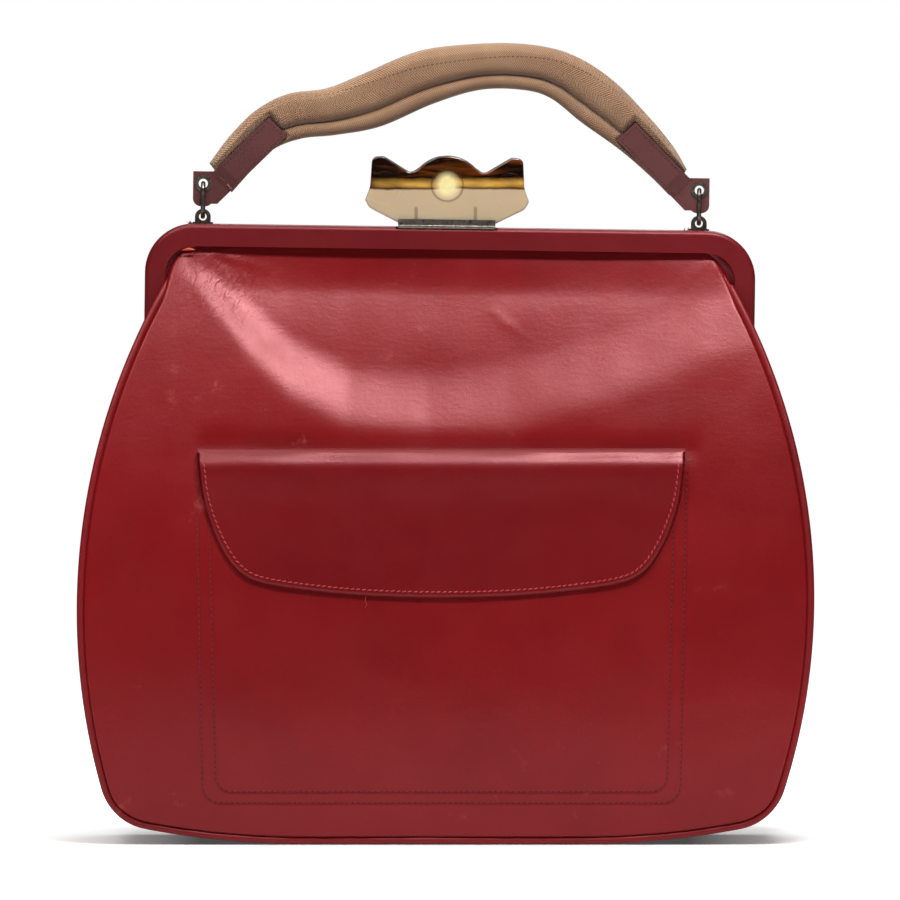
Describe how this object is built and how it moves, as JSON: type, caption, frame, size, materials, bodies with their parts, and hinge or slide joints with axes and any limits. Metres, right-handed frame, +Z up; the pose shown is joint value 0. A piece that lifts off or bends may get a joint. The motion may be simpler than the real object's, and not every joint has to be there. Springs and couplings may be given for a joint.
{
  "type": "framed kiss lock handbag",
  "caption": "Red leather framed handbag with a hinged top frame, tip-over clasp with acetate ornament, front flap pocket and padded tape handle on oval links.",
  "frame": {"origin": "on the floor, at the middle of the bag's box", "axes": "+X right seen from the front, -Y out of the front with the pocket, +Z up"},
  "size_m": [0.3618, 0.1126, 0.395],
  "materials": {
    "red_leather": "smooth glazed, lightly creased",
    "frame_leather": "smooth, tight over the frame",
    "brown_leather": "worn matt",
    "herringbone_tape": "herringbone weave, slightly soiled",
    "felt_padding": "matt",
    "lining_cloth": "plain weave",
    "fibre_board": "matt",
    "dark_nickel": "worn dark nickel plate",
    "frame_steel": "plain",
    "tortoiseshell_acetate": "polished, translucent, streaked",
    "cream_acetate": "polished, translucent"
  },
  "bodies": {
    "bag": {"front_panel": "red_leather", "front_welt": "red_leather", "back_panel": "red_leather", "back_welt": "red_leather", "gusset": "red_leather", "base_board": "fibre_board", "lining": "lining_cloth", "pocket_backing": "red_leather", "back_frame_cover": "frame_leather", "back_frame_core": "frame_steel", "left_hinge_rivet": "dark_nickel", "right_hinge_rivet": "dark_nickel", "clasp_keeper": "dark_nickel", "left_lug": "dark_nickel", "right_lug": "dark_nickel"},
    "front_frame": {"front_panel_top": "red_leather", "front_welt_ends": "red_leather", "front_frame_cover": "frame_leather", "front_frame_core": "frame_steel", "clasp_base": "dark_nickel", "clasp_hinge_pin": "dark_nickel"},
    "clasp": {"clasp_channel": "dark_nickel", "ornament_tortoiseshell": "tortoiseshell_acetate", "ornament_cream": "cream_acetate", "ornament_pins": "dark_nickel"},
    "handle": {"handle_tape": "herringbone_tape", "handle_padding": "felt_padding", "left_link": "dark_nickel", "right_link": "dark_nickel", "left_eyelet": "dark_nickel", "right_eyelet": "dark_nickel", "left_tab_front": "brown_leather", "left_tab_back": "brown_leather", "right_tab_front": "brown_leather", "right_tab_back": "brown_leather"},
    "flap": {"pocket_flap": "red_leather"}
  },
  "joints": [
    {"name": "frame_opening", "type": "hinge", "parent": "bag", "child": "front_frame", "pos_m": [0.00167, 0, 0.23798], "axis": [0.9999, 0, -0.014], "range_deg": [0, 70]},
    {"name": "clasp_tip", "type": "hinge", "parent": "front_frame", "child": "clasp", "pos_m": [0.00057, -0.0089, 0.3022], "axis": [0.9999, 0, -0.014], "range_deg": [0, 65], "stiffness_Nm_per_rad": 0.02, "springref_deg": -17.19},
    {"name": "handle_swing", "type": "hinge", "parent": "bag", "child": "handle", "pos_m": [0.00267, 0.004, 0.30907], "axis": [0.9999, 0, -0.014], "range_deg": [-90, 90]},
    {"name": "flap_lift", "type": "hinge", "parent": "bag", "child": "flap", "pos_m": [-0.002, -0.0431, 0.1914], "axis": [-1, 0, 0], "range_deg": [0, 110]}
  ]
}
